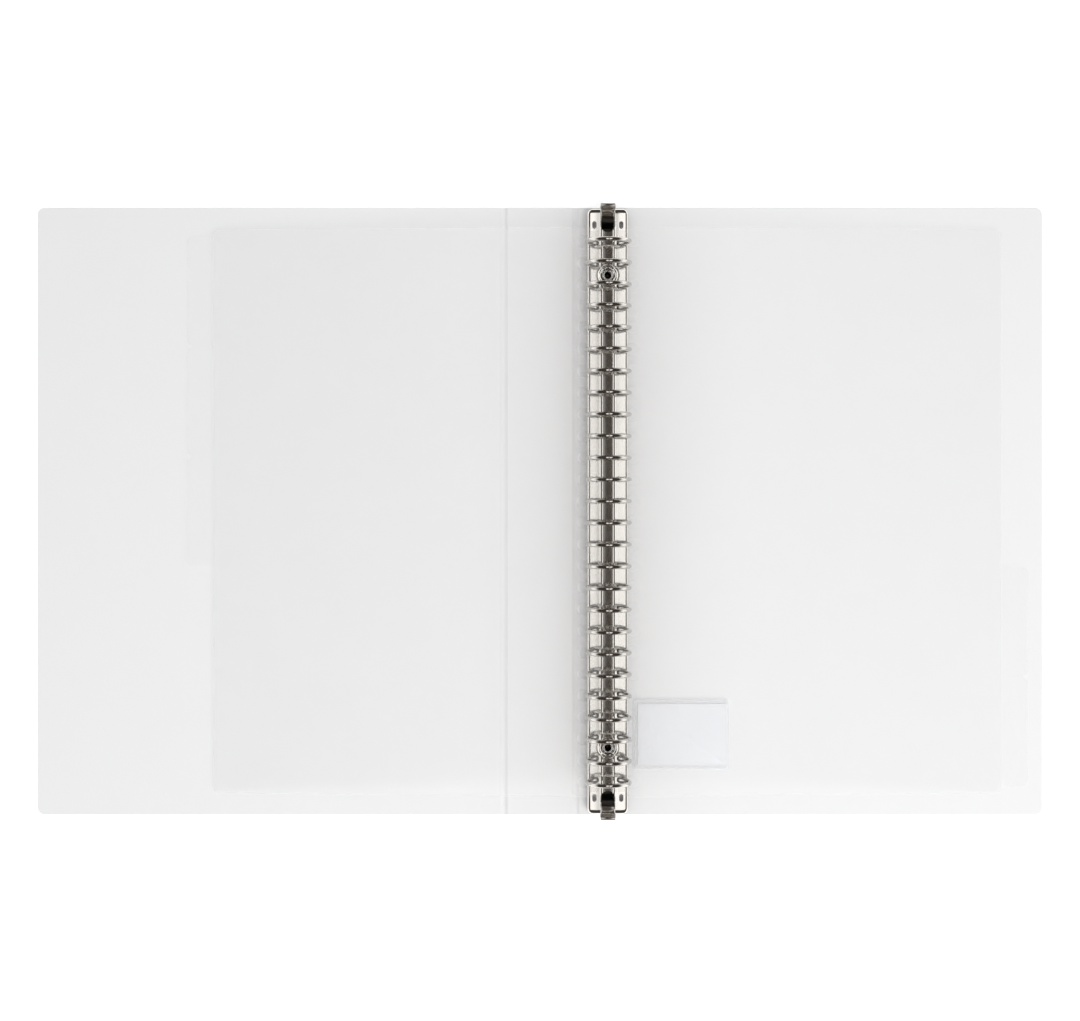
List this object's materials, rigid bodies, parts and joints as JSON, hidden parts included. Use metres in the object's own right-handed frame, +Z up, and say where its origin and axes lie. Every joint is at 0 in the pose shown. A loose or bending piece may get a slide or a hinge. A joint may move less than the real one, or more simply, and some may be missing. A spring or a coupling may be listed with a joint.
{
  "type": "ring binder",
  "caption": "Open ring binder: frosted plastic cover with a two-crease spine, a many-ring metal mechanism with an opening lever at each end, and loose index dividers on the rings.",
  "frame": {"origin": "on the table, under the middle of the open cover's box", "axes": "+X across the open cover towards the back panel that carries the rings, +Y along the spine towards the rings' top lever, +Z up"},
  "size_m": [0.447, 0.2724, 0.0237],
  "materials": {
    "cover_film": "frosted translucent polypropylene with a fine grain",
    "divider_film": "clear frosted polypropylene film",
    "nickel_plate": "bright nickel plate on pressed steel and wire",
    "label_card": "plain uncoated card"
  },
  "bodies": {
    "back_cover": {"back_cover": "cover_film", "housing": "nickel_plate", "rivet_top": "nickel_plate", "rivet_bottom": "nickel_plate", "lever_pin_top": "nickel_plate", "lever_pin_bottom": "nickel_plate", "label_pocket": "divider_film"},
    "spine": {"spine": "cover_film"},
    "front_cover": {"front_cover": "cover_film"},
    "ring_half_left": {"ring_blade_left": "nickel_plate"},
    "ring_half_right": {"ring_blade_right": "nickel_plate"},
    "lever_top": {"lever_top": "nickel_plate"},
    "lever_bottom": {"lever_bottom": "nickel_plate"},
    "label_card": {"label_card": "label_card"},
    "divider_1": {"divider_1": "divider_film"},
    "divider_2": {"divider_2": "divider_film"},
    "divider_3": {"divider_3": "divider_film"},
    "divider_4": {"divider_4": "divider_film"},
    "divider_5": {"divider_5": "divider_film"}
  },
  "joints": [
    {"name": "spine_fold", "type": "hinge", "parent": "back_cover", "child": "spine", "pos_m": [0.016, 0, 0.00015], "axis": [0, 1, 0], "range_deg": [0, 90]},
    {"name": "cover_fold", "type": "hinge", "parent": "spine", "child": "front_cover", "pos_m": [-0.016, 0, 0.00015], "axis": [0, 1, 0], "range_deg": [0, 90]},
    {"name": "left_rings_open", "type": "hinge", "parent": "back_cover", "child": "ring_half_left", "pos_m": [0.0219, 0, 0.0039], "axis": [0, 1, 0], "range_deg": [-15, 0]},
    {"name": "right_rings_open", "type": "hinge", "parent": "back_cover", "child": "ring_half_right", "pos_m": [0.0381, 0, 0.0039], "axis": [0, 1, 0], "range_deg": [0, 15]},
    {"name": "lever_top_press", "type": "hinge", "parent": "back_cover", "child": "lever_top", "pos_m": [0.03, 0.1286, 0.004], "axis": [1, 0, 0], "range_deg": [-15, 0]},
    {"name": "lever_bottom_press", "type": "hinge", "parent": "back_cover", "child": "lever_bottom", "pos_m": [0.03, -0.1286, 0.004], "axis": [1, 0, 0], "range_deg": [0, 15]},
    {"name": "divider_1_turn", "type": "hinge", "parent": "back_cover", "child": "divider_1", "pos_m": [0.03, 0, 0.01338], "axis": [0, 1, 0], "range_deg": [0, 186.5]},
    {"name": "divider_2_turn", "type": "hinge", "parent": "back_cover", "child": "divider_2", "pos_m": [0.03, 0, 0.01338], "axis": [0, 1, 0], "range_deg": [0, 186.5]},
    {"name": "divider_3_turn", "type": "hinge", "parent": "divider_2", "child": "divider_3", "pos_m": [0.03, 0, 0.01338], "axis": [0, -1, 0], "range_deg": [-186.5, 0]},
    {"name": "divider_4_turn", "type": "hinge", "parent": "back_cover", "child": "divider_4", "pos_m": [0.03, 0, 0.01338], "axis": [0, 1, 0], "range_deg": [-186.5, 0]},
    {"name": "divider_5_turn", "type": "hinge", "parent": "back_cover", "child": "divider_5", "pos_m": [0.03, 0, 0.01338], "axis": [0, 1, 0], "range_deg": [-181, 0]},
    {"name": "label_card_slide", "type": "slide", "parent": "back_cover", "child": "label_card", "axis": [1, 0, 0], "range_m": [0, 0.04]}
  ],
  "couplings": [
    {"joint": "cover_fold", "follows": "spine_fold", "ratio": 1},
    {"joint": "divider_1_turn", "follows": "spine_fold", "ratio": 2.072},
    {"joint": "divider_2_turn", "follows": "spine_fold", "ratio": 2.072},
    {"joint": "right_rings_open", "follows": "left_rings_open", "ratio": -1},
    {"joint": "lever_top_press", "follows": "left_rings_open", "ratio": 1},
    {"joint": "lever_bottom_press", "follows": "left_rings_open", "ratio": -1},
    {"joint": "divider_5_turn", "follows": "divider_4_turn", "ratio": 0.97}
  ]
}
